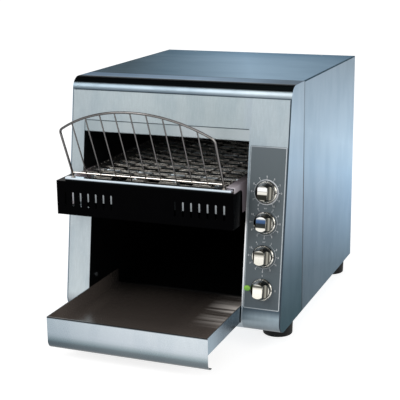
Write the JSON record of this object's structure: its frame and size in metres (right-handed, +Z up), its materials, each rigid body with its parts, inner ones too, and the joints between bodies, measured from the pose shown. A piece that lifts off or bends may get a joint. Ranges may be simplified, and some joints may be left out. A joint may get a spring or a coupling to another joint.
{
  "type": "conveyor toaster",
  "caption": "Countertop conveyor toaster with a mesh belt through a wide front inlet, a lift-off wire bread guard, side dials and a sliding toast tray below.",
  "frame": {"origin": "bottom centre of the bounding box, between the feet, at the level the feet stand on", "axes": "+Z up, +X to the right as seen from the front, the sloping front with the tray faces -Y"},
  "size_m": [0.368, 0.6, 0.4065],
  "materials": {
    "brushed_steel": "brushed",
    "inner_steel": "heat-stained",
    "bright_steel": "bright",
    "plated_steel": "zinc-plated",
    "overlay_film": "satin",
    "black_enamel": "gloss",
    "quartz": "frosted",
    "ceramic": "matte",
    "heating_wire": "oxidised",
    "belt_wire": "worn",
    "bronze": "satin",
    "motor_paint": "satin",
    "chain_steel": "oiled",
    "black_plastic": "satin",
    "pale_plastic": "satin",
    "green_plastic": "satin",
    "board": "lacquered",
    "lamp_lens": "translucent",
    "rubber": "matte"
  },
  "bodies": {
    "chassis": {"base_pan": "plated_steel", "left_side_panel": "brushed_steel", "right_side_panel": "brushed_steel", "top_cover": "brushed_steel", "back_panel": "brushed_steel", "front_bezel": "brushed_steel", "front_panel": "brushed_steel", "inlet_baffle": "inner_steel", "control_overlay": "overlay_film", "left_chamber_wall": "inner_steel", "right_chamber_wall": "inner_steel", "upper_reflector": "bright_steel", "lower_reflector": "bright_steel", "toast_chute": "inner_steel", "wall_screws": "plated_steel", "upper_quartz_tubes": "quartz", "lower_quartz_tubes": "quartz", "tube_end_caps": "ceramic", "heater_coils": "heating_wire", "left_side_plate": "plated_steel", "right_side_plate": "plated_steel", "front_cross_plate": "bright_steel", "frame_spacers": "plated_steel", "shaft_bushes": "bronze", "belt_rests": "plated_steel", "mesh_belt": "belt_wire", "front_cover": "black_enamel", "loading_ledge": "bright_steel", "tray_rails": "plated_steel", "gear_motor": "motor_paint", "motor_bracket": "plated_steel", "drive_chain": "chain_steel", "chain_guide": "pale_plastic", "fan_frame": "black_plastic", "speed_control": "green_plastic", "top_heat_control": "pale_plastic", "bottom_heat_control": "pale_plastic", "power_switch": "black_plastic", "signal_lamp": "lamp_lens", "terminal_block": "pale_plastic", "control_board": "board", "cord_gland": "black_plastic", "feet": "rubber", "foot_screws": "plated_steel", "casing_screws": "plated_steel"},
    "front_roller": {"front_shaft": "plated_steel", "front_sprockets": "plated_steel"},
    "rear_roller": {"rear_shaft": "plated_steel", "rear_sprockets": "plated_steel", "chain_wheel": "plated_steel"},
    "motor_pinion": {"motor_sprocket": "plated_steel"},
    "fan": {"fan_rotor": "black_plastic"},
    "tray": {"toast_tray": "brushed_steel"},
    "guard": {"bread_guard": "bright_steel"},
    "speed_dial": {"speed_knob": "bright_steel"},
    "top_heat_dial": {"top_heat_knob": "bright_steel"},
    "bottom_heat_dial": {"bottom_heat_knob": "bright_steel"},
    "power_dial": {"power_knob": "bright_steel"}
  },
  "joints": [
    {"name": "rear_shaft_turn", "type": "hinge", "parent": "chassis", "child": "rear_roller", "pos_m": [0, 0.181, 0.239], "axis": [1, 0, 0], "continuous": true},
    {"name": "front_shaft_turn", "type": "hinge", "parent": "chassis", "child": "front_roller", "pos_m": [0, -0.144, 0.239], "axis": [1, 0, 0], "continuous": true},
    {"name": "motor_sprocket_turn", "type": "hinge", "parent": "chassis", "child": "motor_pinion", "pos_m": [0.1302, 0.104, 0.1445], "axis": [1, 0, 0], "continuous": true},
    {"name": "fan_turn", "type": "hinge", "parent": "chassis", "child": "fan", "pos_m": [0.1456, 0.274, 0.1255], "axis": [0, 1, 0], "continuous": true},
    {"name": "tray_slide", "type": "slide", "parent": "chassis", "child": "tray", "axis": [0, -1, 0], "range_m": [0, 0.12]},
    {"name": "guard_lift", "type": "slide", "parent": "chassis", "child": "guard", "axis": [0, 0, 1], "range_m": [0, 0.03]},
    {"name": "speed_turn", "type": "hinge", "parent": "chassis", "child": "speed_dial", "pos_m": [0.1515, -0.13113, 0.2475], "axis": [0, 0.9892, -0.1464], "range_deg": [-150, 150]},
    {"name": "top_heat_turn", "type": "hinge", "parent": "chassis", "child": "top_heat_dial", "pos_m": [0.1515, -0.13802, 0.201], "axis": [0, 0.9892, -0.1464], "range_deg": [0, 300]},
    {"name": "bottom_heat_turn", "type": "hinge", "parent": "chassis", "child": "bottom_heat_dial", "pos_m": [0.1515, -0.14556, 0.15], "axis": [0, 0.9892, -0.1464], "range_deg": [0, 300]},
    {"name": "power_turn", "type": "hinge", "parent": "chassis", "child": "power_dial", "pos_m": [0.1515, -0.15311, 0.099], "axis": [0, 0.9892, -0.1464], "range_deg": [0, 90]}
  ],
  "couplings": [
    {"joint": "front_shaft_turn", "follows": "rear_shaft_turn", "ratio": 1},
    {"joint": "motor_sprocket_turn", "follows": "rear_shaft_turn", "ratio": 2}
  ]
}
